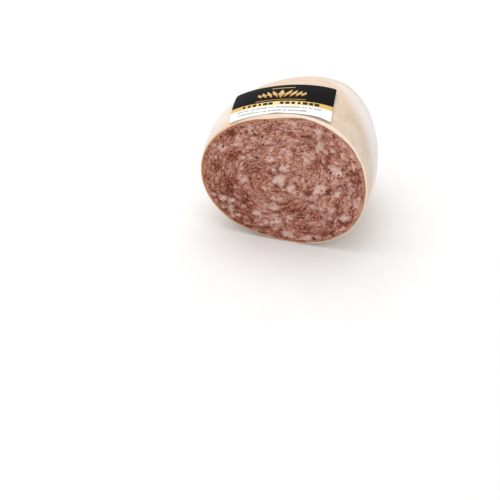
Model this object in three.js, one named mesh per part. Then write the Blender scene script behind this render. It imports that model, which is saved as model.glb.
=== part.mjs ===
// Half of a large white-cased pork sausage, lying on its side with its cut face towards -Y, and the paper
// label stuck across its top. Millimetres, +Z up. The shapes are worked out with the cut face at y = 0 and
// the resting plane at z = 0, and the group then moves them until the origin is under their middle.
import * as THREE from 'three';

// Overall size
const LENGTH = 100; // from the cut face to the crown of the rounded end
const CUT_HALF_WIDTH = 56.1; // half-axes of the oval that the cut face makes
const CUT_HALF_HEIGHT = 49.0;
const CUT_CENTRE = new THREE.Vector2(1.4, 48.25); // middle of that oval, sideways and above the floor
const CUT_TILT = THREE.MathUtils.degToRad(1.9); // the oval leans a little, anticlockwise from the front

// The oval isn't a true ellipse: it sags into its lower right and is flattened at its upper left
const SAG = { share: 0.026, waves: 3, peak: THREE.MathUtils.degToRad(-51) };
const SQUARING = { share: 0.01, waves: 4, peak: THREE.MathUtils.degToRad(-41) };

// The body behind the cut
const SWELL_SIDE = 0.031; // how much wider than the cut the body is at its fullest
const SWELL_TOP = 0.04; // how much higher it is there
const FULLEST = 25.8; // distance of the fullest section behind the cut
const DOME_START = 1.6; // how softly the section starts to shrink towards the far end
const DOME_END = 2.1; // how round the far end is
const CROWN_HEIGHT = 50.4; // height of the crown of the rounded end
const KEEL_LENGTH = 46.4; // the underside stays down this far, then rises to the crown
const KEEL_RISE = 2;
const DRIFT = { slope: -4.9, bend: 16 }; // the body bends sideways over its length
const SETTLE = 1.2; // how far the soft underside is pressed flat on the floor
const SETTLE_REACH = 10; // distance behind the cut over which that pressing builds up

// Pleats where the casing is gathered at the crown
const PLEATS = 15;
const PLEAT_DEPTH = 0.035; // share of the radius
const PLEAT_START = 66;
const PLEAT_FULL = 98;
const DIMPLE_DEPTH = 1.4;
const DIMPLE_RADIUS = 7;

// Steps across the cut face from its rim inwards: the casing's end, the groove inside it, the rounded edge
// of the meat, and the flat middle
const RIM_STEPS = [
  { inset: 0.35, depth: 0.1 },
  { inset: 1.1, depth: 0 },
  { inset: 1.5, depth: 0.7 },
  { inset: 2.6, depth: 0.35 },
  { inset: 5, depth: 0.1 },
  { inset: 9, depth: 0 },
];
const RIM_ROUND = 0.5; // how far behind the cut the rounded edge of the casing starts
const MIDDLE_STEPS = [0.66, 0.33]; // inner rings, as shares of the last inset ring

// The label, a rectangle of stiff paper wrapped over the top
const LABEL_HALF_WIDTH = 34.5; // along the curve of the body
const LABEL_HEIGHT = 31; // from the edge near the cut to the edge near the crown
const LABEL_THICKNESS = 0.45;
const LABEL_GAP = 0.3;
const LABEL_ANGLE = THREE.MathUtils.degToRad(99.8); // where its middle lies around the body
const LABEL_START = 1; // distance of its near edge behind the cut
const LABEL_TURN = THREE.MathUtils.degToRad(-3);
const LABEL_CURL = 1.3; // how far its left and right ends bend towards the crown
const LABEL_BEND_RADIUS = 52; // radius of the body under it
const LABEL_LIFTS = { nearLeft: 0.6, nearRight: 0.9, farLeft: 1.6, farRight: 2.4 }; // lifted corners

// Mesh steps
const AROUND = 96;
const ALONG = 26;
const LABEL_ACROSS = 22;
const LABEL_UP = 10;

const COLOURS = { casing: 0xe6d8c8, label: 0x26242a };

const { clamp, smoothstep } = THREE.MathUtils;

// Distance from the oval's middle to the cut's outline, at an angle anticlockwise from +X
function outlineRadius(angle) {
  const turned = angle - CUT_TILT;
  const ellipse = 1 / Math.hypot(Math.cos(turned) / CUT_HALF_WIDTH, Math.sin(turned) / CUT_HALF_HEIGHT);
  const wave = ({ share, waves, peak }) => share * Math.cos(waves * (angle - peak));
  return ellipse * (1 + wave(SAG) + wave(SQUARING));
}

function outlinePoint(angle) {
  const radius = outlineRadius(angle);
  return new THREE.Vector2(radius * Math.cos(angle), radius * Math.sin(angle)).add(CUT_CENTRE);
}

// Lowest and highest points of the cut's outline
const OUTLINE_HEIGHTS = Array.from({ length: 720 }, (_, i) => outlinePoint((i * Math.PI) / 360).y);
const CUT_BOTTOM = Math.min(...OUTLINE_HEIGHTS);
const CUT_TOP = Math.max(...OUTLINE_HEIGHTS);

// How wide the section is, and where its top, bottom and middle are, at a distance behind the cut
function section(y) {
  const closing = clamp((y - FULLEST) / (LENGTH - FULLEST), 0, 1);
  const shrink = Math.pow(1 - Math.pow(closing, DOME_START), 1 / DOME_END);
  const beforeFullest = Math.pow(clamp((FULLEST - y) / FULLEST, 0, 1), 2);
  const swell = 1 - beforeFullest;
  const rising = clamp((y - KEEL_LENGTH) / (LENGTH - KEEL_LENGTH), 0, 1);
  const keel = Math.sqrt(1 - Math.pow(rising, KEEL_RISE));
  const settled = SETTLE * (1 - Math.exp(-y / SETTLE_REACH));
  return {
    width: (1 + SWELL_SIDE * swell) * shrink,
    top: CROWN_HEIGHT + (CUT_TOP * (1 + SWELL_TOP * swell) - CROWN_HEIGHT) * shrink,
    bottom: CROWN_HEIGHT - (CROWN_HEIGHT - CUT_BOTTOM + settled) * keel,
    middle: DRIFT.slope * (y / LENGTH) + DRIFT.bend * Math.pow(y / LENGTH, 2),
  };
}

// A point on the outside of the casing
function skinPoint(y, angle) {
  const { width, top, bottom, middle } = section(y);
  const outline = outlinePoint(angle);
  const height = (outline.y - CUT_BOTTOM) / (CUT_TOP - CUT_BOTTOM);
  const gathered = smoothstep(y, PLEAT_START, PLEAT_FULL);
  const fold = 0.5 + 0.5 * Math.cos(PLEATS * angle + 1.3 * Math.sin(3 * angle));
  const pleat = 1 - PLEAT_DEPTH * gathered * fold;
  const x = outline.x * width * pleat;
  const z = CROWN_HEIGHT + (bottom + height * (top - bottom) - CROWN_HEIGHT) * pleat;
  const fromCrown = Math.hypot(x, z - CROWN_HEIGHT);
  const dimple = DIMPLE_DEPTH * gathered * Math.exp(-Math.pow(fromCrown / DIMPLE_RADIUS, 2));
  return new THREE.Vector3(middle + x, y - dimple, Math.max(z, 0));
}

// Direction that points out of the casing there
function skinNormal(y, angle) {
  const step = 0.01;
  const along = skinPoint(y + step, angle).sub(skinPoint(y - step, angle));
  const around = skinPoint(y, angle + step).sub(skinPoint(y, angle - step));
  return along.cross(around).normalize();
}

// A point of the cut face, moved in from its rim and back from the plane of the cut
function facePoint(angle, inset, depth) {
  const rim = outlinePoint(angle);
  const inward = CUT_CENTRE.clone().sub(rim).normalize();
  const point = rim.addScaledVector(inward, inset);
  return new THREE.Vector3(point.x, depth, Math.max(point.y, 0));
}

// Closed surface from rings of points, with a single point at each end
function closedFromRings(firstPoint, rings, lastPoint) {
  const around = rings[0].length;
  const points = [firstPoint, ...rings.flat(), lastPoint];
  const at = (ring, i) => 1 + ring * around + (i % around);
  const last = points.length - 1;
  const faces = [];
  for (let i = 0; i < around; i += 1) {
    faces.push(0, at(0, i), at(0, i + 1));
    for (let ring = 0; ring + 1 < rings.length; ring += 1) {
      faces.push(at(ring, i), at(ring + 1, i), at(ring + 1, i + 1));
      faces.push(at(ring, i), at(ring + 1, i + 1), at(ring, i + 1));
    }
    faces.push(at(rings.length - 1, i), last, at(rings.length - 1, i + 1));
  }
  return closedGeometry(points, faces);
}

function closedGeometry(points, faces) {
  const geometry = new THREE.BufferGeometry().setFromPoints(points);
  geometry.setIndex(faces);
  geometry.computeVertexNormals();
  return geometry;
}

// The whole sausage: the middle of the cut, the rings of the cut face, the rings of the casing, the crown
function sausageGeometry() {
  const angles = Array.from({ length: AROUND }, (_, i) => (2 * Math.PI * i) / AROUND);
  const innermost = RIM_STEPS[RIM_STEPS.length - 1];
  const centre = new THREE.Vector3(CUT_CENTRE.x, 0, CUT_CENTRE.y);
  const middle = [...MIDDLE_STEPS].reverse().map((share) =>
    angles.map((angle) => facePoint(angle, innermost.inset, innermost.depth).sub(centre)
      .multiplyScalar(share).add(centre)));
  const rim = [...RIM_STEPS].reverse().map(({ inset, depth }) =>
    angles.map((angle) => facePoint(angle, inset, depth)));
  const body = Array.from({ length: ALONG }, (_, row) => {
    const share = row / ALONG;
    const y = RIM_ROUND + (LENGTH - RIM_ROUND) * Math.sin((Math.PI / 2) * share);
    return angles.map((angle) => skinPoint(y, angle));
  });
  return closedFromRings(centre, [...middle, ...rim, ...body], skinPoint(LENGTH, 0));
}

// A point of the label: u runs from -1 at its left to 1 at its right, v from 0 near the cut to 1, and
// height is the distance above its underside
function labelPoint(u, v, height) {
  const across = u * LABEL_HALF_WIDTH;
  const up = v * LABEL_HEIGHT;
  const along = across * Math.cos(LABEL_TURN) + up * Math.sin(LABEL_TURN);
  const turned = up * Math.cos(LABEL_TURN) - across * Math.sin(LABEL_TURN);
  const y = LABEL_START + LABEL_CURL * u * u + turned;
  const angle = LABEL_ANGLE - along / LABEL_BEND_RADIUS;
  const right = Math.pow((1 + u) / 2, 3);
  const left = Math.pow((1 - u) / 2, 3);
  const near = (1 - v) * (1 - v) * (LABEL_LIFTS.nearLeft * left + LABEL_LIFTS.nearRight * right);
  const far = v * v * (LABEL_LIFTS.farLeft * left + LABEL_LIFTS.farRight * right);
  const rise = LABEL_GAP + near + far + height;
  return skinPoint(y, angle).addScaledVector(skinNormal(y, angle), rise);
}

// Upper and lower sheets of the label, sewn together along their four edges
function labelGeometry() {
  const sheet = (height) => Array.from({ length: (LABEL_ACROSS + 1) * (LABEL_UP + 1) }, (_, i) => {
    const column = i % (LABEL_ACROSS + 1);
    const row = Math.floor(i / (LABEL_ACROSS + 1));
    return labelPoint((2 * column) / LABEL_ACROSS - 1, row / LABEL_UP, height);
  });
  const points = [...sheet(0), ...sheet(LABEL_THICKNESS)];
  const under = (column, row) => row * (LABEL_ACROSS + 1) + column;
  const over = (column, row) => under(column, row) + points.length / 2;
  const faces = [];
  const quad = (a, b, c, d) => faces.push(a, b, c, a, c, d);
  for (let row = 0; row < LABEL_UP; row += 1) {
    for (let column = 0; column < LABEL_ACROSS; column += 1) {
      quad(over(column, row), over(column + 1, row), over(column + 1, row + 1), over(column, row + 1));
      quad(under(column, row), under(column, row + 1), under(column + 1, row + 1), under(column + 1, row));
    }
    quad(under(0, row), over(0, row), over(0, row + 1), under(0, row + 1));
    const end = LABEL_ACROSS;
    quad(under(end, row), under(end, row + 1), over(end, row + 1), over(end, row));
  }
  for (let column = 0; column < LABEL_ACROSS; column += 1) {
    quad(under(column, 0), under(column + 1, 0), over(column + 1, 0), over(column, 0));
    const top = LABEL_UP;
    quad(under(column, top), over(column, top), over(column + 1, top), under(column + 1, top));
  }
  return closedGeometry(points, faces);
}

function namedMesh(name, geometry, colour, roughness) {
  const material = new THREE.MeshStandardMaterial({ color: colour, roughness, metalness: 0 });
  const mesh = new THREE.Mesh(geometry, material);
  mesh.name = name;
  return mesh;
}

const group = new THREE.Group();
const sausage = namedMesh('sausage', sausageGeometry(), COLOURS.casing, 0.6);
const label = namedMesh('label', labelGeometry(), COLOURS.label, 0.35);
group.add(sausage, label);

// The origin lies under the middle of the whole part
const bounds = new THREE.Box3().setFromObject(group);
const middle = bounds.getCenter(new THREE.Vector3());
group.position.set(-middle.x, -middle.y, -bounds.min.z);

export default group;
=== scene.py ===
"""Looks of a half sausage: its casing, the cut face of the meat, and the paper label on top.

Everything is in metres. Shapes are worked out with the cut face at y = 0 and the floor at z = 0, and
placed() then moves them to where the CAD nodes stand. Angles run anticlockwise around the cut from +X, as
seen from the front. An inset is a distance from the rim of the cut towards its middle."""
import math
import bpy
import numpy as np
from mathutils import Matrix, Vector


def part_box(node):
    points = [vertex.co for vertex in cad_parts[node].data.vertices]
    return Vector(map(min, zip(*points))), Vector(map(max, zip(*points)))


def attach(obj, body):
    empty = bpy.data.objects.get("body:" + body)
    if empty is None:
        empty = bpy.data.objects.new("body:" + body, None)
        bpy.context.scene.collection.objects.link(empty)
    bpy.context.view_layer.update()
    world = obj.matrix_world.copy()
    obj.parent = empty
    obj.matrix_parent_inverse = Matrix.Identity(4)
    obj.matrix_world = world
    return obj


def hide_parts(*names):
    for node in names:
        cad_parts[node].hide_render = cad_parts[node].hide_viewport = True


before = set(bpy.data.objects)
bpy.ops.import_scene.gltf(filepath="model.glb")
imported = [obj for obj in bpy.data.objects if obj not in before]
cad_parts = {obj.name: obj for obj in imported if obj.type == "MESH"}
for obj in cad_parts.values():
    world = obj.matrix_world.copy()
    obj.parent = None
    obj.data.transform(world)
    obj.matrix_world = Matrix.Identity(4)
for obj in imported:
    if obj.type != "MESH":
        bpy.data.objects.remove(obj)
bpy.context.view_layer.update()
MM = 0.001

# The body, as in the CAD model
LENGTH = 0.100
CUT_HALF_WIDTH = 0.0561
CUT_HALF_HEIGHT = 0.0490
CUT_CENTRE = (0.0014, 0.04825)
CUT_TILT = math.radians(1.9)
SAG = (0.026, 3, math.radians(-51))
SQUARING = (0.010, 4, math.radians(-41))
SWELL_SIDE = 0.031
SWELL_TOP = 0.04
FULLEST = 0.0258
DOME_START = 1.6
DOME_END = 2.1
CROWN_HEIGHT = 0.0504
KEEL_LENGTH = 0.0464
KEEL_RISE = 2
DRIFT_SLOPE = -0.0049
DRIFT_BEND = 0.016
SETTLE = 0.0012
SETTLE_REACH = 0.010
PLEATS = 15
PLEAT_DEPTH = 0.035
PLEAT_START = 0.066
PLEAT_FULL = 0.098
DIMPLE_DEPTH = 0.0014
DIMPLE_RADIUS = 0.007

# The label, as in the CAD model
LABEL_HALF_WIDTH = 0.0345
LABEL_HEIGHT = 0.031
LABEL_GAP = 0.0003
LABEL_ANGLE = math.radians(99.8)
LABEL_START = 0.001
LABEL_TURN = math.radians(-3)
LABEL_CURL = 0.0013
LABEL_BEND_RADIUS = 0.052
LABEL_LIFTS = {"near_left": 0.0006, "near_right": 0.0009, "far_left": 0.0016, "far_right": 0.0024}

# Finer sizes that only the looks have: the casing
CASING_THICKNESS = 0.92 * MM
EDGE_DEPTH = 0.5 * MM  # how far behind the cut its rounded edge ends and its outside begins
CAD_FACE_INSET = 1.1 * MM  # how far in from the rim the cut of the CAD model stands furthest forward
CUT_UNEVENNESS = 0.12 * MM
LUMP_WAVES = 26
LUMP_LENGTH = 22 * MM
LUMP_HEIGHT = 0.22 * MM
CREASES = 34
CREASES_AT_RIGHT = 15
CREASE_DEPTH = 0.42 * MM
RELIEF_START, RELIEF_FULL = 0.5 * MM, 9 * MM  # where, behind the cut, lumps and creases set in
FINE_GATHERS = 43
GATHER_DEPTH = 0.75 * MM

# The meat
MEAT_DEPTH = 5.5 * MM
POCKET_DEPTH = 6.0 * MM  # how far behind the cut the casing closes behind the meat
MEAT_GAP = 0.03 * MM  # between its side and the casing
MEAT_EDGE = 0.35 * MM  # how far in from the casing its edge begins to round
GROOVE_DEPTH = 0.1 * MM
GROOVE_REACH = 1.1 * MM
TONE_HEIGHT = 0.07 * MM
FAT_HEIGHT = 0.06 * MM
SLIT_DEPTH = 0.75 * MM

# The label
LABEL_THICKNESS = 0.28 * MM
LABEL_CORNER = 1.2 * MM
LABEL_REACH = 1.4 * MM  # how far its near right corner reaches towards the cut
LABEL_SKEW = 1.35 * MM  # how far its right corners are moved around the body, the near one outwards
LABEL_RIPPLE = 0.7 * MM  # how far two ripples lift its near edge
LABEL_RIPPLES = ((-0.02, 0.13), (0.76, 0.2))  # their places and widths, as shares of its half width
PRINT_ARC = 2.0 * MM  # how far the fields of the print climb towards the label's ends

# The print, in millimetres: upwards from the label's near edge, and sideways from its middle
GOLD_BAND = (7.2, 10.9)
BLACK_FIELD = (10.9, 32.0)
# Rows of marks: left, right, low, high, and seed
WORD_ROWS = ((-29.5, 27.5, 4.5, 5.9, 3.0), (-29.5, 19.0, 1.5, 2.9, 57.0))
BLOCK_ROWS = ((-27.0, -4.2, 7.9, 10.3, 5.0), (-0.5, 26.0, 7.9, 10.3, 9.0))
SIDE_LEAVES = ((4.4, 4.4), (8.2, 4.0), (11.8, 3.3), (15.0, 2.4))  # sideways place, half height
RULES = ((17.0, 12.4, 13.0), (8.0, 26.2, 26.8))  # half length, low, high

# What stands out on the cut: sideways place, height above the floor, and size, in millimetres. The fat
# pieces also have a strength.
FAT_PIECES = (
    (-8.8, 62.7, 5.4, 1.0), (-6.6, 55.4, 4.6, 0.9), (0.0, 57.5, 6.2, 1.0), (-2.4, 46.7, 8.6, 1.0),
    (5.4, 42.2, 6.8, 1.0), (25.2, 45.8, 7.5, 0.85), (35.5, 61.5, 6.4, 1.0), (36.7, 45.6, 5.5, 0.9),
    (46.1, 48.4, 4.5, 0.85), (31.0, 76.0, 4.8, 0.85), (38.0, 74.0, 4.0, 0.5), (20.5, 87.3, 7.0, 0.7),
    (5.2, 88.8, 5.0, 0.6), (2.6, 69.1, 6.0, 0.45), (-25.1, 82.8, 5.0, 0.5), (-32.0, 69.2, 5.0, 0.6),
    (-42.5, 64.4, 5.5, 0.6), (-25.7, 43.9, 5.5, 0.75), (-11.0, 40.3, 4.5, 0.6), (-2.8, 33.8, 6.0, 0.75),
    (-5.6, 26.6, 6.0, 0.8), (21.5, 31.0, 6.0, 0.6), (26.5, 31.0, 4.0, 0.6), (-35.0, 26.2, 5.5, 0.75),
    (-39.7, 26.5, 4.0, 0.8), (-46.3, 27.6, 3.5, 0.7), (-34.4, 18.8, 6.0, 0.55), (-15.5, 19.0, 6.2, 0.85),
    (-29.3, 13.8, 4.0, 0.8), (-3.1, 15.3, 8.4, 0.85), (5.9, 19.0, 5.5, 0.6), (42.8, 26.9, 7.0, 0.8),
    (49.0, 39.7, 5.0, 0.5), (30.2, 25.3, 6.0, 0.5), (5.0, 6.3, 7.0, 0.7), (19.0, 6.4, 6.5, 0.7),
    (22.7, 78.5, 5.0, 0.55), (31.8, 63.8, 3.8, 0.7),
)
SLIT = {"x": 13.0 * MM, "z": 83.4 * MM, "slope": 0.06, "half_length": 4.6 * MM, "half_width": 1.05 * MM}
RED_SPOTS = ((-35.6, 77.0, 5.0), (-25.1, 25.4, 3.4), (-21.6, 21.5, 2.8), (-45.0, 37.0, 3.0),
             (36.0, 56.0, 2.0))
LEAN_PATCHES = ((-41.0, 37.0, 24.0), (-36.0, 78.0, 9.0), (-22.0, 23.0, 11.0), (10.0, 23.0, 10.0),
                (6.0, 85.0, 8.0), (25.5, 65.5, 9.0))
PEPPERCORNS = (
    (-18.2, 62.2, 1.7), (0.4, 53.5, 1.2), (1.8, 72.3, 1.1), (-19.3, 71.3, 1.1), (-26.5, 80.6, 1.0),
    (-12.3, 90.7, 1.1), (-6.9, 91.3, 1.1), (5.2, 93.8, 1.0), (-48.9, 32.5, 1.4), (-38.6, 36.4, 1.3),
)

# Where the casing is thicker or thinner at the cut: angle and reach in degrees, and share of its thickness
RIM_SWELLS = ((103, 17, 2.1), (128, 18, 0.6), (58, 15, 0.9), (270, 70, -0.3))
# Waves of that thickness all around the cut: share of it, count around, and phase
RIM_WAVES = ((0.06, 2, -1.2), (0.08, 7, 0.6), (0.09, 19, 2.0), (0.06, 47, 1.0))
# Where the casing is yellower: millimetres behind the cut, degrees around, reach in both, and strength
STAINS = ((24, 43, 12, 12, 1.2), (40, 128, 16, 16, 0.4), (48, 245, 18, 30, 0.6), (66, 62, 13, 24, 0.75))
# The cut edge of the casing in section: share of its thickness in from the rim, and millimetres deep
CASING_EDGE = ((0.97, 0.30), (0.86, 0.10), (0.68, 0.01), (0.42, 0.0), (0.2, 0.06), (0.06, 0.2))
# The rounded edge of the meat in section: millimetres in from its side, and deep
MEAT_ROUNDING = ((0.24, 0.06), (0.13, 0.15), (0.05, 0.3), (0.0, 0.5))

# Where the camera stood, seen from the frame of the cut face
CAMERA_PLACE = (0.15140, -0.80304, 0.57766)
CAMERA_RIGHT = (0.96985, 0.23945, 0.04533)
CAMERA_BACK = (0.16884, -0.79434, 0.58354)
CAMERA_LENS = 107.35
CAMERA_SENSOR = 36.0


# ---------------------------------------------------------------- shape of the body

def smoothstep(value, low, high):
    """0 up to low, 1 from high on, and 3t^2 - 2t^3 in between."""
    t = np.clip((value - low) / (high - low), 0, 1)
    return t * t * (3 - 2 * t)


def outline_radius(angle):
    """From the middle of the cut to its rim: an ellipse times 1 plus a three-wave and a four-wave cosine."""
    turned = angle - CUT_TILT
    ellipse = 1 / np.hypot(np.cos(turned) / CUT_HALF_WIDTH, np.sin(turned) / CUT_HALF_HEIGHT)
    waves = sum(share * np.cos(count * (angle - peak)) for share, count, peak in (SAG, SQUARING))
    return ellipse * (1 + waves)


def face_points(angle, inset, depth):
    """Points of the cut: that far in from its rim, and that far back from its plane."""
    radius = outline_radius(angle) - inset
    x = CUT_CENTRE[0] + radius * np.cos(angle)
    z = CUT_CENTRE[1] + radius * np.sin(angle)
    return np.stack(np.broadcast_arrays(x, depth, np.maximum(z, 0)), -1)


ALL_ROUND = np.radians(np.arange(0, 360, 0.5))
RIM_HEIGHTS = CUT_CENTRE[1] + outline_radius(ALL_ROUND) * np.sin(ALL_ROUND)
CUT_BOTTOM, CUT_TOP = RIM_HEIGHTS.min(), RIM_HEIGHTS.max()


def pleat_folds(angle):
    """1 where the pleats at the crown are drawn in most, and 0 between: a cosine with uneven spacing."""
    return 0.5 + 0.5 * np.cos(PLEATS * angle + 1.3 * np.sin(3 * angle))


def skin_points(y, angle):
    """The outside of the casing: the cut's outline made wider or narrower, with its top and bottom moved,
    for each distance y behind the cut, then drawn in by the pleats at the crown and kept above the floor."""
    closing = np.clip((y - FULLEST) / (LENGTH - FULLEST), 0, 1)
    shrink = (1 - closing ** DOME_START) ** (1 / DOME_END)
    swell = 1 - np.clip((FULLEST - y) / FULLEST, 0, 1) ** 2
    keel = np.sqrt(1 - np.clip((y - KEEL_LENGTH) / (LENGTH - KEEL_LENGTH), 0, 1) ** KEEL_RISE)
    settled = SETTLE * (1 - np.exp(-y / SETTLE_REACH))
    width = (1 + SWELL_SIDE * swell) * shrink
    top = CROWN_HEIGHT + (CUT_TOP * (1 + SWELL_TOP * swell) - CROWN_HEIGHT) * shrink
    bottom = CROWN_HEIGHT - (CROWN_HEIGHT - CUT_BOTTOM + settled) * keel
    middle = DRIFT_SLOPE * (y / LENGTH) + DRIFT_BEND * (y / LENGTH) ** 2
    radius = outline_radius(angle)
    height = (CUT_CENTRE[1] + radius * np.sin(angle) - CUT_BOTTOM) / (CUT_TOP - CUT_BOTTOM)
    gathered = smoothstep(y, PLEAT_START, PLEAT_FULL)
    pleat = 1 - PLEAT_DEPTH * gathered * pleat_folds(angle)
    x = (CUT_CENTRE[0] + radius * np.cos(angle)) * width * pleat
    z = CROWN_HEIGHT + (bottom + height * (top - bottom) - CROWN_HEIGHT) * pleat
    dimple = DIMPLE_DEPTH * gathered * np.exp(-(np.hypot(x, z - CROWN_HEIGHT) / DIMPLE_RADIUS) ** 2)
    return np.stack(np.broadcast_arrays(middle + x, y - dimple, np.maximum(z, 0)), -1)


def unit(vectors):
    """The same directions with length 1."""
    return vectors / np.maximum(np.linalg.norm(vectors, axis=-1, keepdims=True), 1e-12)


def skin_normals(y, angle):
    """Directions out of the casing: the slope along the body crossed with the slope around it."""
    step, turn = 0.02 * MM, 0.002
    back = np.minimum(y + step, LENGTH)
    along = skin_points(back, angle) - skin_points(back - 2 * step, angle)
    around = skin_points(y, angle + turn) - skin_points(y, angle - turn)
    return unit(np.cross(along, around))


def lumps(y, angle):
    """Low, broad unevenness of the stuffed body: seeded cosine waves that close around it, about -1 to 1."""
    rng = np.random.default_rng(5)
    total = np.zeros(np.broadcast(y, angle).shape)
    for wave in range(LUMP_WAVES):
        around = rng.integers(0, 11)
        along = rng.uniform(-1, 1) * 2 * math.pi / LUMP_LENGTH
        total += np.cos(around * angle + along * y + rng.uniform(0, 2 * math.pi)) / (1 + 0.12 * around)
    return total / 7


def turn_from(angle, middle, reach):
    """How far the angle is from a middle one, by the shorter way round and counted in reaches. The middle
    and the reach are in degrees."""
    off = (angle - math.radians(middle) + math.pi) % (2 * math.pi) - math.pi
    return off / math.radians(reach)


def creases(y, angle):
    """Shallow creases that run part of the way around the body, each a narrow trough whose place behind
    the cut wavers with the angle. The first ones lie at the right, and the others are half as deep.
    0 is none, and 1 is the floor of the deepest one."""
    rng = np.random.default_rng(12)
    total = np.zeros(np.broadcast(y, angle).shape)
    for trough in range(CREASES):
        at_right = trough < CREASES_AT_RIGHT
        place = rng.uniform(14, 86) * MM
        middle = rng.uniform(-60, 25) if at_right else rng.uniform(0, 360)
        reach = rng.uniform(12, 34)
        width = rng.uniform(0.7, 1.9) * MM
        phase = rng.uniform(0, 2 * math.pi)
        waver = rng.uniform(0.8, 2.6) * MM * np.sin(3 * angle + phase)
        depth = rng.uniform(0.35, 1) * (1 if at_right else 0.5)
        total += depth * np.exp(-((y - place - waver) / width) ** 2 - turn_from(angle, middle, reach) ** 2)
    return np.minimum(total, 1)


def gathers(y, angle):
    """Valleys between the pleats at the crown: narrow ones where the CAD's folds are deepest, with finer
    ones between. 0 is none, and 1 is the floor of a valley."""
    fine = 0.5 + 0.5 * np.cos(FINE_GATHERS * angle + 2.2 * np.sin(5 * angle) + 60 * y)
    drawn = smoothstep(y, 70 * MM, 97 * MM) * (1 - smoothstep(y, 99.2 * MM, LENGTH))
    return drawn * np.minimum(pleat_folds(angle) ** 5 + 0.35 * fine ** 4, 1)


def skin_relief(y, angle):
    """How far the casing stands out from the CAD shape: lumps less creases, which fade out at the cut and
    at the crown, less the valleys of the gathers."""
    held = smoothstep(y, RELIEF_START, RELIEF_FULL) * (1 - smoothstep(y, 86 * MM, 99 * MM))
    return (held * (LUMP_HEIGHT * lumps(y, angle) - CREASE_DEPTH * creases(y, angle))
            - GATHER_DEPTH * gathers(y, angle))


def on_side(angle, middle, low, high):
    """1 on the side of the cut at that middle angle, in degrees, and 0 on the other: a smoothstep of the
    cosine between them."""
    return smoothstep(np.cos(angle - math.radians(middle)), low, high)


def soaked_meat(angle):
    """1 where the rim of the meat is soaked with juice: at the left, most of all above its middle."""
    return on_side(angle, 150, 0.3, 0.97)


def soaked_casing(angle):
    """1 where the cut edge of the casing is tan instead of cream: all along the left, and a third as much
    at the lower right."""
    return np.maximum(on_side(angle, 205, -0.1, 0.9), 0.35 * on_side(angle, 300, 0.2, 0.9))


def patch_on_skin(y, angle, place, middle, length, reach):
    """1 at a place on the casing, fading out over that length along it and that many degrees around it."""
    return np.exp(-((y - place) / length) ** 2 - turn_from(angle, middle, reach) ** 2)


def bloom_and_painted_sheen(y, angle):
    """1 on the chalky sides of the casing, which are partly real bloom and partly painted sheen at the right
    edge and painted light at the left: strong at the right behind the cut, climbing towards the back, and
    fainter at the left. Its borders wander with the lumps."""
    place = y + 5 * MM * lumps(y, angle)
    climb = np.radians(4 + (y - 20 * MM) / MM)
    right = (smoothstep(np.cos(angle - climb), 0.76, 0.99) * smoothstep(place, 9 * MM, 27 * MM)
             * (1 - smoothstep(place, 40 * MM, 86 * MM)))
    return np.maximum(right, 0.8 * patch_on_skin(place, angle, 20 * MM, 158, 22 * MM, 30))


def stain(y, angle):
    """1 where the casing is yellower: at the right shoulder, and in three weaker places elsewhere."""
    return np.minimum(sum(strength * patch_on_skin(y, angle, place * MM, middle, length * MM, reach)
                          for place, middle, length, reach, strength in STAINS), 1)


def casing_thickness(angle):
    """Thickness of the casing at the cut: greatest near the top, where a pale layer lies under it, greater
    at both shoulders, least underneath, and uneven all around."""
    swells = sum(share * np.exp(-turn_from(angle, middle, reach) ** 2) for middle, reach, share in RIM_SWELLS)
    waves = (share * np.cos(count * angle + phase) for share, count, phase in RIM_WAVES)
    return CASING_THICKNESS * sum(waves, 1 + swells)


# ---------------------------------------------------------------- pattern of the cut meat

PITCH = 0.25 * MM
COLUMNS = 496
COMB_STEP = 0.3 * MM
STEPS = (np.arange(COLUMNS) - COLUMNS / 2 + 0.5) * PITCH
GRID_X, GRID_Z = np.meshgrid(STEPS, STEPS)  # from the middle of the cut
GRID_ANGLE = np.arctan2(GRID_Z, GRID_X)
GRID_RIM = outline_radius(GRID_ANGLE)
GRID_SHARE = np.hypot(GRID_X, GRID_Z) / GRID_RIM
GRID_FREQUENCY = np.fft.fftfreq(COLUMNS, PITCH)


def even(field):
    """The field with mean 0 and spread 1 over the cut."""
    inside = field[GRID_SHARE < 1]
    return (field - inside.mean()) / inside.std()


def cloud(size, seed):
    """White noise blurred by a Gaussian of that radius."""
    noise = np.fft.fft2(np.random.default_rng(seed).standard_normal((COLUMNS, COLUMNS)))
    squares = GRID_FREQUENCY[:, None] ** 2 + GRID_FREQUENCY[None] ** 2
    return even(np.fft.ifft2(noise * np.exp(-2 * (math.pi * size) ** 2 * squares)).real)


def sampled(field, column, row):
    """The field between its grid points, by straight lines both ways."""
    column, row = np.clip(column, 0, COLUMNS - 1.001), np.clip(row, 0, COLUMNS - 1.001)
    i, j = column.astype(int), row.astype(int)
    a, b = column - i, row - j
    lower = field[j, i] * (1 - a) + field[j, i + 1] * a
    upper = field[j + 1, i] * (1 - a) + field[j + 1, i + 1] * a
    return lower * (1 - b) + upper * b


def grain():
    """The meat's layers and the direction of its grain. The layers are counted in millimetres by the share
    of the way to the rim, swirled by a cloud towards the middle. The grain runs along their contours."""
    calm = np.clip((1 - GRID_SHARE) / 0.45, 0.12, 1)
    layers = 50 * GRID_SHARE + 4 * cloud(8 * MM, 1) * calm
    slope_z, slope_x = np.gradient(layers)
    length = np.hypot(slope_x, slope_z) + 1e-9
    return layers, (-slope_z / length, slope_x / length)


def combed(field, flow, reach):
    """The field averaged along the grain, that far to both sides."""
    rows, columns = np.mgrid[0:COLUMNS, 0:COLUMNS].astype(float)
    total, count = field.copy(), 1
    for way in (1, -1):
        column, row = columns.copy(), rows.copy()
        for step in range(max(1, round(reach / COMB_STEP))):
            move_x, move_z = sampled(flow[0], column, row), sampled(flow[1], column, row)
            column += way * COMB_STEP / PITCH * move_x
            row += way * COMB_STEP / PITCH * move_z
            total += sampled(field, column, row)
            count += 1
    return even(total / count)


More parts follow.
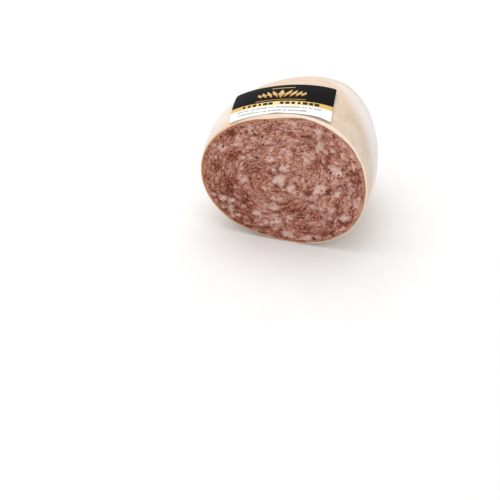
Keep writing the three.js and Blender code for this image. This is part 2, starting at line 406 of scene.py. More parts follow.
def scattered(count, seed, reach, *ranges):
    """Seeded places over the cut, from its middle, evenly spread up to that share of the way to the rim,
    each with one number from each range."""
    rng = np.random.default_rng(seed)
    turn = rng.uniform(0, 2 * math.pi, count)
    radius = np.sqrt(rng.uniform(0, reach ** 2, count)) * outline_radius(turn)
    numbers = [rng.uniform(low, high, count) for low, high in ranges]
    return np.stack([radius * np.cos(turn), radius * np.sin(turn), *numbers], -1)


def meat_pattern():
    """Fields of the cut on the grid. tone runs from about -1 in lean meat to 1 in pale tissue: clouds combed
    along the grain, thin bright strands where a smooth cloud passes through 0, darker lean patches, and a
    broad painted shade, darker at the left and low down. fat is a mask of soft ovals stretched along the
    grain, with edges that a cloud moves. red masks the darkest lean, slit the narrow gap, whose dark colour
    is painted shade, and lilac the smooth meat under it. layers counts the meat's layers."""
    layers, flow = grain()
    coarse = even(0.75 * combed(cloud(0.9 * MM, 2), flow, 1.3 * MM) + 0.65 * cloud(0.8 * MM, 3))
    medium = even(combed(cloud(0.4 * MM, 4), flow, 1.1 * MM) + 0.8 * cloud(0.4 * MM, 5))
    fine = even(combed(cloud(0.2 * MM, 6), flow, 0.7 * MM) + 0.9 * cloud(0.2 * MM, 7))
    curls = [even(combed(cloud(0.95 * MM, seed), flow, 1.8 * MM) + 0.25 * medium) for seed in (8, 9)]
    patch, broad = cloud(3.5 * MM, 10), cloud(10 * MM, 11)
    arcs = combed(cloud(0.5 * MM, 14), flow, 3.3 * MM) * smoothstep(GRID_SHARE, 0.0, 0.6)
    warp_x, warp_z = cloud(1.4 * MM, 12), cloud(1.4 * MM, 13)
    x = GRID_X + 0.5 * MM * warp_x + 0.18 * MM * medium
    z = GRID_Z + 0.5 * MM * warp_z + 0.18 * MM * fine

    def oval(place_x, place_z, size, stretch):
        """1 less the distance from a place, scaled by the size and stretched along the grain there."""
        column, row = place_x / PITCH + COLUMNS / 2, place_z / PITCH + COLUMNS / 2
        way_x, way_z = sampled(flow[0], column, row), sampled(flow[1], column, row)
        along = (x - place_x) * way_x + (z - place_z) * way_z
        across = (z - place_z) * way_x - (x - place_x) * way_z
        return 1 - np.hypot(along / stretch, across * stretch) / (size / 2)

    def listed_oval(place_x, place_z, size, stretch):
        """The same for a place from the lists above, which start at the floor and are in millimetres."""
        return oval(place_x * MM - CUT_CENTRE[0], place_z * MM - CUT_CENTRE[1], size * MM, stretch)

    fat = np.zeros(GRID_X.shape)
    for place_x, place_z, size, strength in FAT_PIECES:
        shape = listed_oval(place_x, place_z, size, 1.08)
        fat = np.maximum(fat, strength * smoothstep(shape + 0.10 * coarse + 0.06 * medium, -0.35, 0.55))
    small_pieces = scattered(210, 31, 0.96, (1.5, 4.2), (1.0, 1.5), (0.1, 0.58))
    for place_x, place_z, size, stretch, strength in small_pieces:
        shape = oval(place_x, place_z, size * MM, stretch)
        fat = np.maximum(fat, strength * smoothstep(shape + 0.14 * coarse + 0.10 * medium, -0.4, 0.6))
    fat = np.clip(fat * (1 + 0.10 * medium + 0.12 * fine), 0, 1)
    strand = sum(np.exp(-(curl / 0.2) ** 2) for curl in curls)
    strand = np.minimum(strand, 1) * smoothstep(patch + 0.6 * coarse, -0.9, 0.7)
    # Painted shade: the tone darkens low down and towards the left.
    lower, left = -GRID_Z / CUT_HALF_HEIGHT, -GRID_X / CUT_HALF_WIDTH
    tone = (0.10 * coarse + 0.26 * medium + 0.38 * fine + 0.24 * arcs + 0.14 * patch + 0.05 * broad
            + 0.46 * strand - 0.22 - 0.44 * lower - 0.20 * left)
    red = smoothstep(-coarse - 0.4 * patch + 0.3 * medium, 1.3, 2.4) * 0.6
    for place_x, place_z, size in RED_SPOTS:
        shape = listed_oval(place_x, place_z, size, 1.0)
        red = np.maximum(red, 0.9 * smoothstep(shape + 0.2 * medium, -0.3, 0.7))
    for place_x, place_z, size in LEAN_PATCHES:
        shape = listed_oval(place_x, place_z, size, 1.1)
        tone = tone - 0.7 * smoothstep(shape + 0.3 * coarse, -0.3, 0.8)

    beside = GRID_X + CUT_CENTRE[0] - SLIT["x"]
    above = GRID_Z + CUT_CENTRE[1] - SLIT["z"] - SLIT["slope"] * beside
    slit = np.exp(-(above / SLIT["half_width"]) ** 2) * (
        1 - smoothstep(np.abs(beside), 0.6 * SLIT["half_length"], SLIT["half_length"]))
    below = np.exp(-(np.hypot(beside / 1.3, above + 1.9 * MM) / (2.4 * MM)) ** 2)
    return {"tone": tone * (1 - 0.6 * below), "fat": fat * (1 - below), "red": red, "slit": slit,
            "lilac": below, "layers": layers}


# ---------------------------------------------------------------- meshes

def rings_to_faces(rows, around):
    """Four-cornered faces between rings of points that follow one another, each ring closed on itself."""
    row, column = np.mgrid[0:rows - 1, 0:around]
    after = (column + 1) % around
    return np.stack([row * around + column, (row + 1) * around + column,
                     (row + 1) * around + after, row * around + after], -1).reshape(-1, 4)


def sheet_to_faces(grid):
    """Four-cornered faces between the points of a sheet, from a grid of their indexes."""
    return np.stack([grid[:-1, :-1], grid[:-1, 1:], grid[1:, 1:], grid[1:, :-1]], -1).reshape(-1, 4)


def border_of(grid):
    """Indexes of the sheet's border points, anticlockwise from its lower left corner."""
    return np.concatenate([grid[0, :-1], grid[:-1, -1], grid[-1, :0:-1], grid[:0:-1, 0]])


def fan(ring, point, outwards):
    """Triangles from a ring of points to a single one. outwards says which side the fan faces."""
    after = np.roll(ring, -1)
    single = np.full(len(ring), point)
    return np.stack([single, ring, after] if outwards else [ring, single, after], -1)


def middle_of(low, high):
    """Halfway between two corners of a box."""
    return (np.array(low) + np.array(high)) / 2


def shift_to_cad():
    """From the frame of the cut to the CAD's: between the middles of both bodies' boxes."""
    low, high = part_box("sausage")
    angle = np.arange(96) * 2 * math.pi / 96
    rows = EDGE_DEPTH + (LENGTH - EDGE_DEPTH) * np.sin(math.pi / 2 * np.arange(27) / 26)
    body = skin_points(rows[:, None], angle[None]).reshape(-1, 3)
    body = np.concatenate([body, face_points(angle, CAD_FACE_INSET, 0.0)])
    shift = middle_of(low, high) - middle_of(body.min(0), body.max(0))
    return np.array([shift[0], shift[1], 0.0])


SHIFT = shift_to_cad()


def placed(points):
    """Points of the cut's frame, moved to where the CAD nodes stand."""
    return np.asarray(points).reshape(-1, 3) + SHIFT


def shown(name, data):
    """A new object of the scene with that mesh, light or camera."""
    made = bpy.data.objects.new(name, data)
    bpy.context.scene.collection.objects.link(made)
    return made


def piece_from(name, points, quads, triangles, fields=None):
    """A smooth mesh from arrays of points and faces, with a number for each point from each named field."""
    mesh = bpy.data.meshes.new(name)
    corners = np.concatenate([quads.ravel(), triangles.ravel()]).astype(np.int32)
    sizes = np.concatenate([np.full(len(quads), 4), np.full(len(triangles), 3)])
    starts = np.concatenate([[0], np.cumsum(sizes)[:-1]]).astype(np.int32)
    mesh.vertices.add(len(points))
    mesh.vertices.foreach_set("co", placed(points).astype(np.float32).ravel())
    mesh.loops.add(len(corners))
    mesh.loops.foreach_set("vertex_index", corners)
    mesh.polygons.add(len(sizes))
    mesh.polygons.foreach_set("loop_start", starts)
    mesh.polygons.foreach_set("use_smooth", np.ones(len(sizes), bool))
    for field, values in (fields or {}).items():
        attribute = mesh.attributes.new(field, "FLOAT", "POINT")
        attribute.data.foreach_set("value", np.asarray(values).astype(np.float32).ravel())
    mesh.update(calc_edges=True)
    mesh.validate()
    return shown(name, mesh)


def casing_piece(around=420, along=170):
    """The skin of the sausage. Rings start at the middle of the pocket for the meat, come forward along its
    wall, turn over the cut edge, and run back over the outside to the crown."""
    angle = np.arange(around) * 2 * math.pi / around
    thickness = casing_thickness(angle)
    uneven = CUT_UNEVENNESS * (np.cos(5 * angle + 1) + 0.6 * np.cos(13 * angle + 2)
                               + 0.5 * np.cos(31 * angle))
    rings, stores = [], {"edge": [], "painted_crease_shade": [], "bloom_and_painted_sheen": [], "stain": []}

    def ring(points, edge, painted_crease_shade=0.0, chalk_and_painted_sheen=0.0, yellow=0.0):
        rings.append(points)
        for store, value in zip(stores.values(), (edge, painted_crease_shade, chalk_and_painted_sheen, yellow)):
            store.append(np.broadcast_to(value, angle.shape))

    radius = outline_radius(angle)
    for share in (0.3, 0.65):
        ring(face_points(angle, radius - share * (radius - thickness), POCKET_DEPTH), 0.0)
    ring(face_points(angle, thickness, POCKET_DEPTH), 0.0)
    ring(face_points(angle, thickness, 2.0 * MM), 0.0)
    ring(face_points(angle, thickness, 0.6 * MM), 0.3)
    for inset, depth in CASING_EDGE:
        ring(face_points(angle, thickness * inset, depth * MM + uneven * (1 - depth)), 1.0)
    pale_reach = 0.6 * MM + 0.8 * MM * smoothstep(np.sin(angle), 0.5, 1)
    for row in range(along):
        share = row / along
        y = EDGE_DEPTH + (LENGTH - EDGE_DEPTH) * math.sin(math.pi / 2 * share ** 1.06)
        skin = skin_points(y, angle) + skin_normals(y, angle) * skin_relief(y, angle)[:, None]
        skin[:, 1] += uneven * math.exp(-(y - EDGE_DEPTH) / (1.5 * MM))
        skin[:, 2] = np.maximum(skin[:, 2], 0)
        ring(skin, np.exp((EDGE_DEPTH - y) / pale_reach), np.maximum(creases(y, angle), gathers(y, angle)),
             bloom_and_painted_sheen(y, angle), stain(y, angle))
    pocket_middle = [CUT_CENTRE[0], POCKET_DEPTH, CUT_CENTRE[1]]
    points = np.concatenate([*rings, [pocket_middle], skin_points(LENGTH, 0.0)[None]])
    count = len(rings)
    first = np.arange(around)
    triangles = np.concatenate([fan(first, count * around, True),
                                fan(first + (count - 1) * around, count * around + 1, False)])
    stores["soaked"] = [soaked_casing(angle)] * count
    fields = {name: np.append(np.concatenate(values), [0, 0]) for name, values in stores.items()}
    return piece_from("casing", points, rings_to_faces(count, around), triangles, fields)


def disc_grid(cells):
    """Angles and shares of the radius for a square grid of points pressed into a disc: a point's share is
    the larger of its two coordinates, and its angle follows the square that it lies on."""
    steps = np.linspace(-1, 1, cells + 1)
    a, b = np.meshgrid(steps, steps)
    wide = np.abs(a) > np.abs(b)
    share = np.where(wide, np.abs(a), np.abs(b))
    safe = np.where(share == 0, 1, share)
    beside = np.where(wide, b / safe * np.sign(a), a / safe * np.sign(b))
    quarter = math.pi / 4 * beside
    angle = np.where(wide, np.where(a > 0, quarter, math.pi + quarter),
                     np.where(b > 0, math.pi / 2 - quarter, -math.pi / 2 - quarter))
    return angle, share


def meat_piece(cells=272):
    """The meat as a plug in the casing: a fine grid over the cut, a rounded edge, a side wall and a back.
    The cut is set back by a groove that fades inwards from the casing, plus the relief of the pattern."""
    pattern = meat_pattern()
    angle, share = disc_grid(cells)
    rim = outline_radius(angle)
    inset = rim - share * (rim - (casing_thickness(angle) + MEAT_EDGE))
    column = (rim - inset) * np.cos(angle) / PITCH + COLUMNS / 2 - 0.5
    row = (rim - inset) * np.sin(angle) / PITCH + COLUMNS / 2 - 0.5
    found = {name: sampled(field, column, row) for name, field in pattern.items()}
    behind_rim = inset - casing_thickness(angle)
    groove = GROOVE_DEPTH * np.exp(-behind_rim / GROOVE_REACH)
    relief = (TONE_HEIGHT * np.clip(found["tone"], -1, 1) + FAT_HEIGHT * found["fat"]
              - SLIT_DEPTH * found["slit"])
    points = face_points(angle, inset, groove - relief).reshape(-1, 3)
    grid = np.arange((cells + 1) ** 2).reshape(cells + 1, cells + 1)
    border = border_of(grid)
    edge_angle = angle.ravel()[border]
    wall = casing_thickness(edge_angle) + MEAT_GAP
    rings = [face_points(edge_angle, wall + inwards * MM, groove.ravel()[border] + depth * MM)
             for inwards, depth in MEAT_ROUNDING]
    rings += [face_points(edge_angle, wall, depth) for depth in (3.0 * MM, MEAT_DEPTH)]
    rings.append(face_points(edge_angle, wall + 0.5 * outline_radius(edge_angle), MEAT_DEPTH))
    around, front = len(border), len(points)
    skirt = rings_to_faces(len(rings), around) + front
    joint = np.stack([border, np.arange(around) + front, np.roll(np.arange(around), -1) + front,
                      np.roll(border, -1)], -1)
    last = front + (len(rings) - 1) * around + np.arange(around)
    centre = front + len(rings) * around
    points = np.concatenate([points, *rings, [[CUT_CENTRE[0], MEAT_DEPTH, CUT_CENTRE[1]]]])
    rest = len(points) - front
    fields = {name: np.append(values.ravel(), np.zeros(rest)) for name, values in found.items()}
    fields["inset"] = np.append(behind_rim.ravel(), np.zeros(rest))
    wall_soaked = np.tile(soaked_meat(edge_angle), len(rings))
    fields["soaked"] = np.concatenate([soaked_meat(angle).ravel(), wall_soaked, [0]])
    quads = np.concatenate([sheet_to_faces(grid), joint, skirt])
    return piece_from("meat", points, quads, fan(last, centre, False), fields)


def label_points(across, up, height):
    """The label's surface: it is laid across the top of the body, turned a little, bent towards the crown at
    both ends, and lifted at its corners."""
    u, v = across / LABEL_HALF_WIDTH, up / LABEL_HEIGHT
    right, left = ((1 + u) / 2) ** 3, ((1 - u) / 2) ** 3
    along = across * math.cos(LABEL_TURN) + up * math.sin(LABEL_TURN) + LABEL_SKEW * right * (1 - 2 * v)
    y = (LABEL_START + LABEL_CURL * u ** 2 + up * math.cos(LABEL_TURN) - across * math.sin(LABEL_TURN)
         - LABEL_REACH * right * (1 - v))
    angle = LABEL_ANGLE - along / LABEL_BEND_RADIUS
    near = (1 - v) ** 2 * (LABEL_LIFTS["near_left"] * left + LABEL_LIFTS["near_right"] * right)
    far = v ** 2 * (LABEL_LIFTS["far_left"] * left + LABEL_LIFTS["far_right"] * right)
    ripple = LABEL_RIPPLE * sum(np.exp(-((u - place) / width) ** 2) for place, width in LABEL_RIPPLES)
    near = near + ripple * (1 - v) ** 6
    rise = (LABEL_GAP + near + far + height
            + LUMP_HEIGHT * lumps(y, angle) * smoothstep(y, RELIEF_START, RELIEF_FULL))
    return skin_points(y, angle) + skin_normals(y, angle) * rise[..., None]


def label_piece(columns=150, rows=72):
    """A thin curved sheet with rounded corners. Its rows get shorter within a corner's radius of the top and
    bottom, by the height of a quarter circle."""
    ease = np.sin(np.linspace(-math.pi / 2, math.pi / 2, rows + 1)) / 2 + 0.5
    up = LABEL_HEIGHT * (0.5 * ease + 0.5 * np.linspace(0, 1, rows + 1))
    near = np.minimum(np.minimum(up, LABEL_HEIGHT - up), LABEL_CORNER)
    cut = LABEL_CORNER - np.sqrt(np.maximum(LABEL_CORNER ** 2 - (LABEL_CORNER - near) ** 2, 0))
    across = np.linspace(-1, 1, columns + 1)[None] * (LABEL_HALF_WIDTH - cut)[:, None]
    up = np.broadcast_to(up[:, None], across.shape)
    top = label_points(across, up, LABEL_THICKNESS)
    under = label_points(across, up, 0.0)
    points = np.concatenate([top.reshape(-1, 3), under.reshape(-1, 3)])
    count = top.shape[0] * top.shape[1]
    grid = np.arange(count).reshape(rows + 1, columns + 1)
    cell, border = sheet_to_faces(grid), border_of(grid)
    after = np.roll(border, -1)
    wall = np.stack([border, border + count, after + count, after], -1)
    quads = np.concatenate([cell, cell[:, ::-1] + count, wall])
    piece = piece_from("label_sheet", points, quads, np.zeros((0, 3), int))
    sheet = piece.data.uv_layers.new(name="print")
    corners = np.zeros(len(piece.data.loops), np.int32)
    piece.data.loops.foreach_get("vertex_index", corners)
    place = np.stack([(across / LABEL_HALF_WIDTH + 1).ravel() / 2, (up / LABEL_HEIGHT).ravel()], -1)
    sheet.data.foreach_set("uv", place[corners % count].astype(np.float32).ravel())
    return piece


# ---------------------------------------------------------------- materials

def paint(code):
    """A colour of the print or the food, from its usual six-figure code, as Blender's linear values."""
    parts = [int(code[i:i + 2], 16) / 255 for i in (0, 2, 4)]
    linear = [p / 12.92 if p <= 0.04045 else ((p + 0.055) / 1.055) ** 2.4 for p in parts]
    return (*linear, 1.0)


class Nodes:
    """Short ways to add and join the nodes of one material or group."""

    def __init__(self, tree):
        self.tree = tree

    def add(self, kind, inputs=None, **settings):
        """A new node with those settings, and with its sockets filled."""
        node = self.tree.nodes.new(kind)
        for name, value in settings.items():
            setattr(node, name, value)
        self.fill(node, inputs or {})
        return node

    def fill(self, node, inputs):
        """Join other nodes to the node's sockets, or put plain values on them."""
        for key, value in inputs.items():
            if isinstance(value, bpy.types.NodeSocket):
                self.tree.links.new(value, node.inputs[key])
            else:
                node.inputs[key].default_value = value

    def math(self, operation, *values):
        return self.add("ShaderNodeMath", dict(enumerate(values)), operation=operation).outputs[0]

    def step(self, value, low, high, to_low=0.0, to_high=1.0):
        """A smooth change from to_low, where the value is low, to to_high, where it is high."""
        inputs = {"Value": value, "From Min": low, "From Max": high, "To Min": to_low, "To Max": to_high}
        return self.add("ShaderNodeMapRange", inputs, interpolation_type="SMOOTHSTEP").outputs["Result"]

    def mix(self, share, first, second, blend="MIX"):
        inputs = {0: share, 6: first, 7: second}
        return self.add("ShaderNodeMix", inputs, data_type="RGBA", blend_type=blend,
                        clamp_factor=True).outputs[2]

    def layer(self, colour, code, mask, share):
        """The colour with another laid over it, as strong as the mask times that share."""
        return self.mix(self.math("MULTIPLY", mask, share), colour, paint(code))

    def noise(self, place, scale, detail=2.0, roughness=0.5, distortion=0.0):
        inputs = {"Vector": place, "Scale": scale, "Detail": detail, "Roughness": roughness,
                  "Distortion": distortion}
        return self.add("ShaderNodeTexNoise", inputs).outputs["Fac"]

    def field(self, name):
        """The number that the piece's points hold under that name."""
        return self.add("ShaderNodeAttribute", attribute_name=name).outputs["Fac"]

    def ramp(self, value, stops):
        node = self.add("ShaderNodeValToRGB", {"Fac": value})
        ramp = node.color_ramp
        while len(ramp.elements) < len(stops):
            ramp.elements.new(0.5)
        for element, (position, code) in zip(ramp.elements, stops):
            element.position = position
            element.color = paint(code)
        return node.outputs["Color"]

    def bump(self, height, strength, distance):
        inputs = {"Height": height, "Strength": strength, "Distance": distance}
        return self.add("ShaderNodeBump", inputs).outputs["Normal"]


def material(name):
    """A new material with its Principled shader, and the helper that adds nodes to it."""
    made = bpy.data.materials.new(name)
    made.use_nodes = True
    tree = made.node_tree
    return made, Nodes(tree), tree.nodes["Principled BSDF"]


def fine_grain_group():
    """Two sizes of noise on a place, mixed: a mottle for colour and a height for bump."""
    tree = bpy.data.node_groups.new("fine grain", "ShaderNodeTree")
    made = tree.interface
    made.new_socket(name="Place", in_out="INPUT", socket_type="NodeSocketVector")
    for name in ("Coarse scale", "Fine scale", "Share of fine"):
        made.new_socket(name=name, in_out="INPUT", socket_type="NodeSocketFloat")
    made.new_socket(name="Mottle", in_out="OUTPUT", socket_type="NodeSocketFloat")
    made.new_socket(name="Height", in_out="OUTPUT", socket_type="NodeSocketFloat")
    nodes = Nodes(tree)
    given = nodes.add("NodeGroupInput").outputs
    coarse = nodes.noise(given["Place"], given["Coarse scale"], 3.0, 0.55)
    fine = nodes.noise(given["Place"], given["Fine scale"], 2.0, 0.5)
    both = nodes.add("ShaderNodeMix", {0: given["Share of fine"], 2: coarse, 3: fine}).outputs[0]
    nodes.add("NodeGroupOutput", {"Mottle": nodes.step(both, 0.3, 0.7), "Height": both})
    return tree


FINE_GRAIN = fine_grain_group()


def grain_of(nodes, place, coarse, fine, share):
    """The mottle and the height of the fine grain, with its two scales and the share of the finer one."""
    inputs = {"Place": place, "Coarse scale": coarse, "Fine scale": fine, "Share of fine": share}
    outputs = nodes.add("ShaderNodeGroup", inputs, node_tree=FINE_GRAIN).outputs
    return outputs["Mottle"], outputs["Height"]


def meat_material():
    """Cooked pork: the tone of the pattern, with fine grain and fine fibres along its layers, picks a colour
    from lean to pale tissue, under cool pale fat and dark lean, and small clouds tint it warmer or cooler.
    Near the rim it turns tan, most of all at the left. Fine pepper is in the cells of a flat pattern of
    scattered points, near the point, in the cells that chance picks. Larger corns have their own places."""
    made, nodes, shader = material("cooked meat")
    place = nodes.add("ShaderNodeTexCoord").outputs["Object"]
    mottle, height = grain_of(nodes, place, 1050.0, 2600.0, 0.4)
    split = nodes.add("ShaderNodeSeparateXYZ", {0: place}).outputs
    threads = nodes.add("ShaderNodeCombineXYZ", {
        "X": nodes.math("MULTIPLY", split["X"], 330.0), "Y": nodes.math("MULTIPLY", split["Z"], 330.0),
        "Z": nodes.math("MULTIPLY", nodes.field("layers"), 1.5)}).outputs[0]
    fibres = nodes.step(nodes.noise(threads, 1.0, 2.0, 0.6, 0.4), 0.3, 0.7)
    tone = nodes.math("ADD", nodes.field("tone"), nodes.math("MULTIPLY_ADD", mottle, 1.3, -0.65))
    tone = nodes.math("ADD", tone, nodes.math("MULTIPLY_ADD", fibres, 1.1, -0.55))
    fat = nodes.field("fat")
    colour = nodes.ramp(nodes.add("ShaderNodeMapRange", {
        "Value": tone, "From Min": -1.8, "From Max": 1.8}).outputs["Result"], (
        (0.0, "5c2518"), (0.2, "824637"), (0.36, "9b5d4e"), (0.5, "ae7565"), (0.66, "c18c7c"),
        (0.82, "d3a596"), (1.0, "e4c1b3")))
    colour = nodes.layer(colour, "b07a76", nodes.field("lilac"), 0.6)
    colour = nodes.layer(colour, "e3c2b8", fat, nodes.math("MULTIPLY_ADD", mottle, 0.2, 0.8))
    colour = nodes.mix(nodes.field("red"), colour, paint("642a1e"))
    hue = nodes.mix(nodes.step(nodes.noise(place, 270.0, 3.0, 0.65), 0.36, 0.64),
                    (0.965, 0.975, 1.0, 1.0), (1.0, 1.0, 0.925, 1.0))
    colour = nodes.mix(1.0, colour, hue, "MULTIPLY")
    near_edge = nodes.step(nodes.math("MULTIPLY_ADD", tone, -0.5 * MM, nodes.field("inset")),
                           0.3 * MM, 2.6 * MM, 1.0, 0.0)
    share = nodes.math("MULTIPLY", near_edge, nodes.math("MULTIPLY_ADD", nodes.field("soaked"), 0.52, 0.36))
    tan = nodes.mix(nodes.field("soaked"), paint("c8987c"), paint("bd8058"))
    colour = nodes.mix(share, colour, tan)
    # The slit's dark red is painted shade in the narrow gap.
    colour = nodes.layer(colour, "66282a", nodes.field("slit"), 0.95)
    wobble = nodes.add("ShaderNodeTexNoise", {"Vector": place, "Scale": 1400.0}).outputs["Color"]
    flat = nodes.add("ShaderNodeCombineXYZ", {"X": split["X"], "Y": split["Z"]}).outputs[0]
    moved = nodes.add("ShaderNodeMix", {"Factor": 0.0006, 4: flat, 5: wobble}, data_type="VECTOR").outputs[1]
    cells = nodes.add("ShaderNodeTexVoronoi", {"Vector": moved, "Scale": 150.0},
                      voronoi_dimensions="2D").outputs
    chance = nodes.add("ShaderNodeSeparateColor", {0: cells["Color"]}).outputs
    reach = nodes.math("MULTIPLY_ADD", nodes.math("POWER", chance["Green"], 3.0), 0.06, 0.071)
    away = nodes.math("DIVIDE", cells["Distance"], reach)
    pepper = nodes.math("MULTIPLY", nodes.step(away, 0.75, 1.15, 1.0, 0.0),
                        nodes.step(chance["Red"], 0.42, 0.43))
    for x, z, size in PEPPERCORNS:
        from_middle = nodes.add("ShaderNodeVectorMath", {0: moved, 1: (x * MM + SHIFT[0], z * MM, 0.0)},
                                operation="DISTANCE").outputs["Value"]
        corn = nodes.step(from_middle, 0.42 * size * MM, 0.66 * size * MM, 1.0, 0.0)
        pepper = nodes.math("MAXIMUM", pepper, corn)
    colour = nodes.mix(pepper, colour, paint("480c02"))
    wetness = nodes.math("MULTIPLY_ADD", fat, -0.06, 0.46)
    heights = nodes.math("ADD", height, nodes.math("MULTIPLY", tone, 0.35))
    nodes.fill(shader, {
        "Base Color": colour, "Roughness": nodes.math("MULTIPLY_ADD", mottle, 0.14, wetness),
        "Normal": nodes.bump(heights, 0.5, 0.25 * MM), "IOR": 1.4, "Specular IOR Level": 0.15,
        "Subsurface Weight": 0.12, "Subsurface Radius": (1.0, 0.4, 0.28), "Subsurface Scale": 1.0 * MM})
    return made


def casing_material():
    """A pale dry skin: cream with warm clouds and tan blotches, yellower stains, painted shade in its
    creases, streaks of chalky bloom that are partly painted sheen and painted light, and a cut edge that is
    cream where it is dry and tan where it is soaked."""
    made, nodes, shader = material("white casing")
    place = nodes.add("ShaderNodeTexCoord").outputs["Object"]
    mottle, height = grain_of(nodes, place, 420.0, 1700.0, 0.4)
    warm = nodes.step(nodes.noise(place, 22.0, 2.0, 0.5), 0.35, 0.66)
    cloudy = nodes.step(nodes.noise(place, 75.0, 3.0, 0.6, 0.4), 0.4, 0.66)
    colour = nodes.mix(nodes.math("MULTIPLY", warm, 0.8), paint("d9c8b6"), paint("d8bc9a"))
    colour = nodes.layer(colour, "cbab8c", cloudy, 0.45)
    blotches = nodes.step(nodes.noise(place, 260.0, 3.0, 0.65, 0.6), 0.5, 0.72)
    colour = nodes.layer(colour, "c2a485", blotches, 0.42)
    colour = nodes.layer(colour, "c9a578", nodes.field("stain"),
                         nodes.math("MULTIPLY_ADD", cloudy, 0.3, 0.35))
    colour = nodes.layer(colour, "e8dbd0", mottle, 0.36)
    # Painted shade in the creases and in the valleys of the gathers.
    colour = nodes.layer(colour, "b9997f", nodes.field("painted_crease_shade"), 0.42)
    around = nodes.add("ShaderNodeMapping", {"Vector": place, "Scale": (48.0, 430.0, 48.0)}).outputs[0]
    streaks = nodes.noise(around, 1.0, 4.0, 0.62, 0.8)
    # Within the bloom the streaks are partly painted: tan between them is painted shade, and their white
    # partly painted sheen.
    colour = nodes.layer(colour, "c4ae93", nodes.field("bloom_and_painted_sheen"), nodes.step(streaks, 0.3, 0.62, 0.25, 0.0))
    chalk_and_painted_sheen = nodes.math("MULTIPLY_ADD", nodes.field("bloom_and_painted_sheen"), 0.85, 0.04)
    colour = nodes.layer(colour, "f1ebea", chalk_and_painted_sheen, nodes.step(streaks, 0.28, 0.68, 0.66, 1.0))
    rim = nodes.mix(nodes.field("soaked"), paint("fbe6d2"), paint("cf9c6c"))
    colour = nodes.mix(nodes.math("MULTIPLY", nodes.step(nodes.field("edge"), 0.1, 1.0), 0.9), colour, rim)
    heights = nodes.math("MULTIPLY_ADD", streaks, 1.2, height)
    nodes.fill(shader, {
        "Base Color": colour, "Roughness": nodes.math("MULTIPLY_ADD", mottle, 0.16, 0.46),
        "Normal": nodes.bump(heights, 0.45, 0.15 * MM),
        "Subsurface Weight": 0.15, "Subsurface Radius": (1.0, 0.6, 0.4), "Subsurface Scale": 1.2 * MM})
    return made


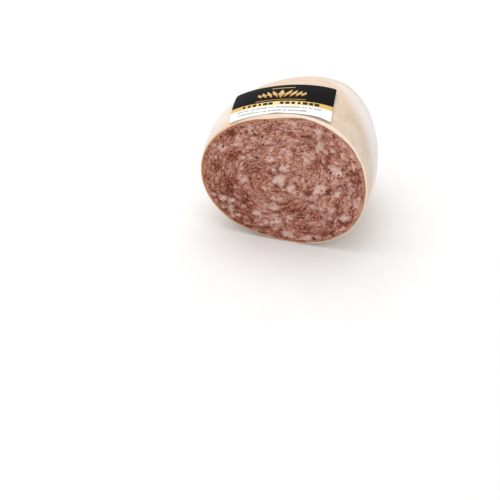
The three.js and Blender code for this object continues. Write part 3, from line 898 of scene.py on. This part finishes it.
def label_material():
    """Printed paper on the label's own print map: a white field with two rows of small grey dashes, a gold
    band that is paler in its middle as a painted highlight, with a row of dark blocks, and a black field
    with a plain gold ornament and rules."""
    made, nodes, shader = material("printed paper")
    uv = nodes.add("ShaderNodeUVMap", uv_map="print").outputs["UV"]
    split = nodes.add("ShaderNodeSeparateXYZ", {0: uv}).outputs
    across = nodes.math("MULTIPLY_ADD", split["X"], 2 * LABEL_HALF_WIDTH / MM, -LABEL_HALF_WIDTH / MM)
    from_middle = nodes.math("MULTIPLY_ADD", split["X"], 2.0, -1.0)
    arc = nodes.math("MULTIPLY", nodes.math("MULTIPLY", from_middle, from_middle), -PRINT_ARC / MM)
    up = nodes.math("MULTIPLY_ADD", split["Y"], LABEL_HEIGHT / MM, arc)

    def between(value, low, high, soft=0.12):
        """1 between two places on the label, with an edge as soft as ink on paper."""
        start = nodes.step(value, low - soft, low + soft)
        return nodes.math("MULTIPLY", start, nodes.step(value, high - soft, high + soft, 1.0, 0.0))

    def both(*masks):
        """1 where every one of the masks is 1."""
        total = masks[0]
        for mask in masks[1:]:
            total = nodes.math("MULTIPLY", total, mask)
        return total

    def either(*masks):
        """1 where any one of the masks is 1."""
        total = masks[0]
        for mask in masks[1:]:
            total = nodes.math("MAXIMUM", total, mask)
        return total

    def dashes(left, right, low, high, seed, cell, spaces, narrowest):
        """A row of marks in cells of one width. Chance picks their widths, from the narrowest share of a
        cell up, and leaves out a share of them as spaces."""
        along = nodes.math("DIVIDE", across, cell)
        number = nodes.math("ADD", nodes.math("FLOOR", along), seed)
        chance = nodes.add("ShaderNodeTexWhiteNoise", {"W": number}, noise_dimensions="1D").outputs
        width = nodes.math("MULTIPLY_ADD", chance["Value"], 0.94 - narrowest, narrowest)
        off = nodes.math("ABSOLUTE", nodes.math("SUBTRACT", nodes.math("FRACT", along), 0.5))
        narrow = nodes.step(nodes.math("MULTIPLY_ADD", width, -0.5, off), -0.05, 0.05, 1.0, 0.0)
        kept = nodes.step(nodes.add("ShaderNodeSeparateColor", {0: chance["Color"]}).outputs["Green"],
                          spaces - 0.01, spaces + 0.01)
        return both(between(across, left, right), between(up, low, high, 0.1), narrow, kept)

    def leaf(x, y, half_width, half_height, slant):
        """A lozenge leaning sideways by a share of its height: scaled distances sideways and up add to 1."""
        rise = nodes.math("SUBTRACT", up, y)
        side = nodes.math("MULTIPLY_ADD", rise, -slant, nodes.math("SUBTRACT", across, x))
        side = nodes.math("ABSOLUTE", nodes.math("DIVIDE", side, half_width))
        rise = nodes.math("ABSOLUTE", nodes.math("DIVIDE", rise, half_height))
        return nodes.step(nodes.math("ADD", side, rise), 0.9, 1.08, 1.0, 0.0)

    mottle, height = grain_of(nodes, nodes.add("ShaderNodeTexCoord").outputs["Object"], 700.0, 3200.0, 0.5)
    white, gold, black = paint("f6f4f0"), paint("dcb668"), paint("060506")
    # Painted highlight: the gold band is paler towards its middle.
    middle = nodes.step(nodes.math("ABSOLUTE", across), 9.0, 25.0, 0.8, 0.0)
    colour = nodes.mix(between(up, *GOLD_BAND), white, nodes.mix(middle, gold, paint("efdd90")))
    colour = nodes.mix(between(up, *BLACK_FIELD), colour, black)
    words = either(*(dashes(*row, cell=0.95, spaces=0.16, narrowest=0.6) for row in WORD_ROWS))
    colour = nodes.layer(colour, "4c5468", words, 0.7)
    blocks = either(*(dashes(*row, cell=3.8, spaces=0.0, narrowest=0.4) for row in BLOCK_ROWS))
    colour = nodes.mix(blocks, colour, paint("2a2119"))
    leaves = [leaf(0.0, 19.2, 2.3, 5.0, 0.0)]
    for count, (x, half_height) in enumerate(SIDE_LEAVES):
        leaves += [leaf(way * x, 19.4 - 0.3 * count, 1.7, half_height, way * 0.55) for way in (-1, 1)]
    rules = [both(between(across, -half, half), between(up, low, high)) for half, low, high in RULES]
    ornament = either(*leaves, *rules)
    shine = nodes.mix(nodes.step(up, 14.5, 23.5), paint("b98a4a"), paint("e2c184"))
    colour = nodes.mix(ornament, colour, shine)
    nodes.fill(shader, {
        "Base Color": nodes.layer(colour, "b9b2a8", mottle, 0.02),
        "Roughness": nodes.math("MULTIPLY_ADD", mottle, 0.1, 0.45),
        "Normal": nodes.bump(height, 0.12, 0.05 * MM), "Specular IOR Level": 0.05})
    return made


# ---------------------------------------------------------------- the scene

def set_camera():
    """A camera with the place, turn and lens that the photograph was taken with."""
    data = bpy.data.cameras.new("camera")
    data.lens, data.sensor_width = CAMERA_LENS, CAMERA_SENSOR
    data.clip_start, data.clip_end = 0.05, 20.0
    camera = shown("camera", data)
    right, back = Vector(CAMERA_RIGHT).normalized(), Vector(CAMERA_BACK).normalized()
    up = back.cross(right).normalized()
    turn = Matrix((right, up, back)).transposed()
    camera.matrix_world = Matrix.Translation(Vector(CAMERA_PLACE) + Vector(SHIFT)) @ turn.to_4x4()
    bpy.context.scene.camera = camera


def soft_light(name, place, size, power, colour):
    """A square area light that looks at the sausage."""
    data = bpy.data.lights.new(name, "AREA")
    data.size, data.energy, data.color = size, power, colour
    light = shown(name, data)
    light.location = place
    light.rotation_euler = (Vector((0, 0, 0.04)) - Vector(place)).to_track_quat("-Z", "Y").to_euler()


def set_studio():
    """White surroundings, a broad light overhead, and a pale floor that turns white far out, so that no
    horizon shows."""
    world = bpy.data.worlds.new("studio")
    world.use_nodes = True
    background = world.node_tree.nodes["Background"]
    Nodes(world.node_tree).fill(background, {"Color": (1.0, 1.0, 1.0, 1.0), "Strength": 0.86})
    bpy.context.scene.world = world
    bpy.context.scene.view_settings.view_transform = "Standard"
    soft_light("overhead", place=(-0.25, 0.1, 1.1), size=1.0, power=6.0, colour=(1.0, 0.985, 0.98))
    made, nodes, shader = material("pale floor")
    place = nodes.add("ShaderNodeTexCoord").outputs["Object"]
    mottle = grain_of(nodes, place, 40.0, 300.0, 0.3)[0]
    away = nodes.add("ShaderNodeVectorMath", {0: place}, operation="LENGTH").outputs["Value"]
    near = nodes.mix(mottle, (0.86, 0.86, 0.86, 1), (0.88, 0.88, 0.88, 1))
    colour = nodes.mix(nodes.step(away, 0.8, 3.0), near, (0.99, 0.99, 0.99, 1))
    nodes.fill(shader, {"Base Color": colour, "Roughness": 0.9})
    mesh = bpy.data.meshes.new("floor")
    mesh.from_pydata([(-60, -60, 0), (60, -60, 0), (60, 60, 0), (-60, 60, 0)], [], [(0, 1, 2, 3)])
    mesh.materials.append(made)
    shown("floor", mesh)


set_camera()
for piece, made, node, slot in (
    (casing_piece(), casing_material(), "sausage", "casing"),
    (meat_piece(), meat_material(), "sausage", "meat"),
    (label_piece(), label_material(), "label", "label"),
):
    piece.data.materials.append(made)
    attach(piece, "root")
    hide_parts(node)
set_studio()
